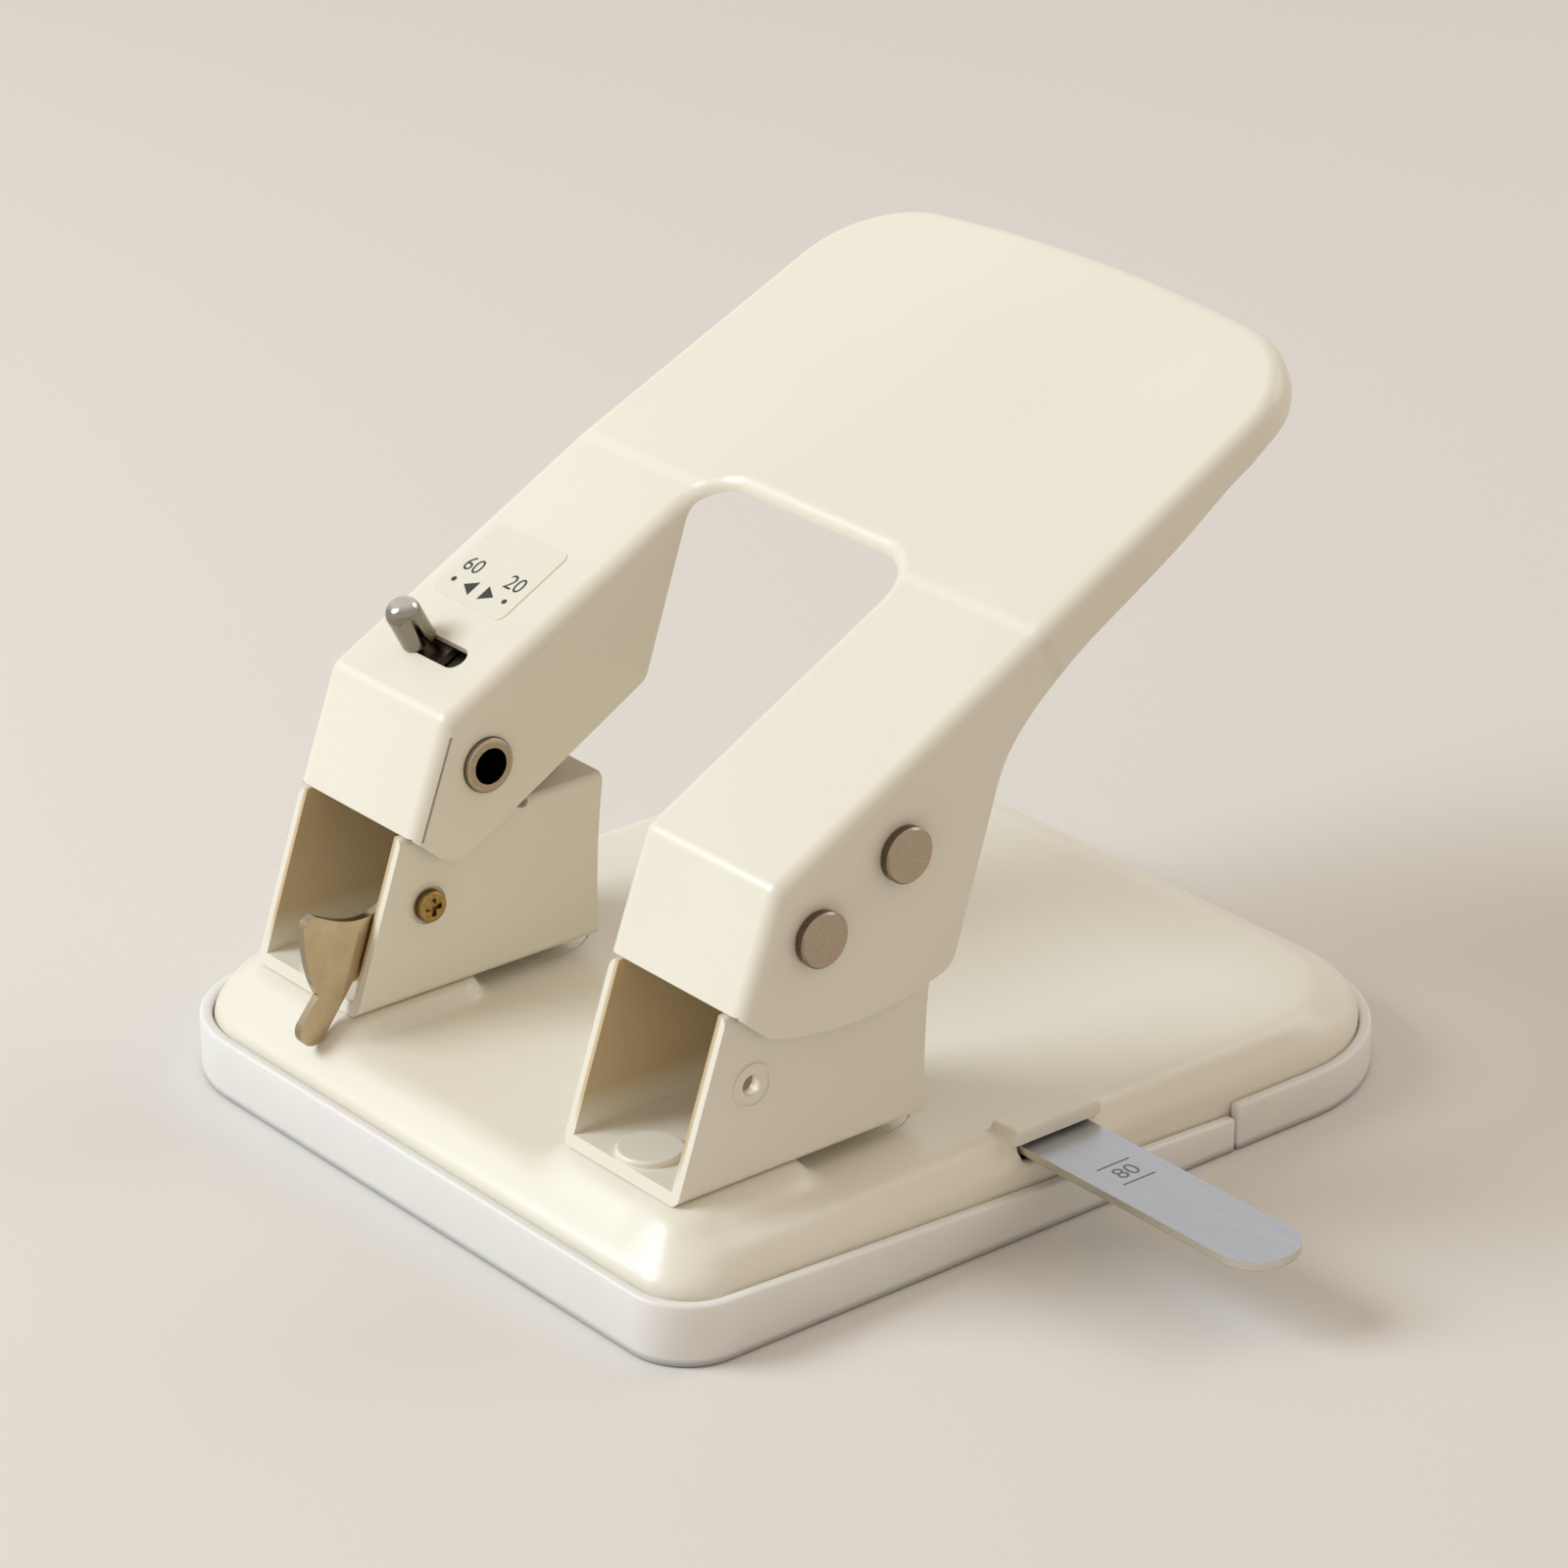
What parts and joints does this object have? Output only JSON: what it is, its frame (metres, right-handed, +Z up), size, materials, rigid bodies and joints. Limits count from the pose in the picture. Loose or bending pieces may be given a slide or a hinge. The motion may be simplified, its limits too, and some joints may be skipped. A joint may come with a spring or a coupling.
{
  "type": "paper punch",
  "caption": "Desk paper punch with paired spring-return punch heads, one U-shaped lever handle, a sliding paper gauge and a chip tray with a hinged flap.",
  "frame": {"origin": "middle of the base's underside, on the table", "axes": "+X to the right along the front edge, +Y to the rear where the palm plate is, +Z up; the handle is raised and the paper gauge is fully out"},
  "size_m": [0.1828, 0.1564, 0.1205],
  "materials": {
    "cream_enamel": "smooth baked enamel",
    "soft_plastic": "soft translucent moulding",
    "hardened_steel": "dark ground steel",
    "zinc_plate": "dull plated steel",
    "spring_steel": "drawn spring wire",
    "nickel_pin": "brownish nickel plate",
    "polished_chrome": "bright plate",
    "paper_label": "printed label",
    "brass_screw": "dull brass",
    "satin_steel": "satin rolled steel"
  },
  "bodies": {
    "base": {"base_shell": "cream_enamel", "chip_tray": "soft_plastic", "head_frame_left": "cream_enamel", "head_frame_right": "cream_enamel", "frame_rivet_left": "cream_enamel", "frame_rivet_right": "cream_enamel", "die_left": "hardened_steel", "die_right": "hardened_steel", "lower_guide_left": "zinc_plate", "lower_guide_right": "zinc_plate", "upper_guide_left": "zinc_plate", "upper_guide_right": "zinc_plate", "lock_screw": "brass_screw", "lock_washer": "zinc_plate", "lock_nut": "zinc_plate", "gauge_guide": "zinc_plate", "gauge_spring": "spring_steel", "return_spring_left": "spring_steel", "return_spring_right": "spring_steel"},
    "handle": {"handle": "cream_enamel", "pivot_rivet_left": "nickel_pin", "pivot_rivet_right": "nickel_pin", "drive_pin_left": "nickel_pin", "drive_pin_right": "nickel_pin", "selector_guide": "zinc_plate", "selector_label": "paper_label"},
    "left_punch": {"punch_left": "hardened_steel", "spring_collar_left": "zinc_plate", "punch_yoke_left": "zinc_plate"},
    "right_punch": {"punch_right": "hardened_steel", "spring_collar_right": "zinc_plate", "punch_yoke_right": "zinc_plate"},
    "selector": {"selector_knob": "polished_chrome", "selector_slide": "zinc_plate"},
    "lock_lever": {"lock_lever": "polished_chrome"},
    "paper_gauge": {"gauge_bar": "satin_steel", "gauge_stop": "satin_steel"},
    "chip_flap": {"chip_flap": "soft_plastic"}
  },
  "joints": [
    {"name": "handle_press", "type": "hinge", "parent": "base", "child": "handle", "pos_m": [0, -0.04175, 0.0553], "axis": [-1, 0, 0], "range_deg": [0, 24], "stiffness_Nm_per_rad": 0.9, "springref_deg": -51.57},
    {"name": "left_punch_stroke", "type": "slide", "parent": "base", "child": "left_punch", "axis": [0, 0, -1], "range_m": [0, 0.0073], "deforming": ["return_spring_left"]},
    {"name": "right_punch_stroke", "type": "slide", "parent": "base", "child": "right_punch", "axis": [0, 0, -1], "range_m": [0, 0.0073], "deforming": ["return_spring_right"]},
    {"name": "selector_shift", "type": "slide", "parent": "handle", "child": "selector", "axis": [1, 0, 0], "range_m": [0, 0.0086]},
    {"name": "lock_lever_turn", "type": "hinge", "parent": "base", "child": "lock_lever", "pos_m": [-0.02945, -0.05215, 0.0336], "axis": [-1, 0, 0], "range_deg": [0, 30]},
    {"name": "gauge_slide", "type": "slide", "parent": "base", "child": "paper_gauge", "axis": [-1, 0, 0], "range_m": [0, 0.046]},
    {"name": "flap_open", "type": "hinge", "parent": "base", "child": "chip_flap", "pos_m": [0, 0.03225, 0], "axis": [-1, 0, 0], "range_deg": [0, 60]}
  ],
  "couplings": [
    {"joint": "left_punch_stroke", "follows": "handle_press", "m_per_rad": 0.017427},
    {"joint": "right_punch_stroke", "follows": "handle_press", "m_per_rad": 0.017427}
  ]
}
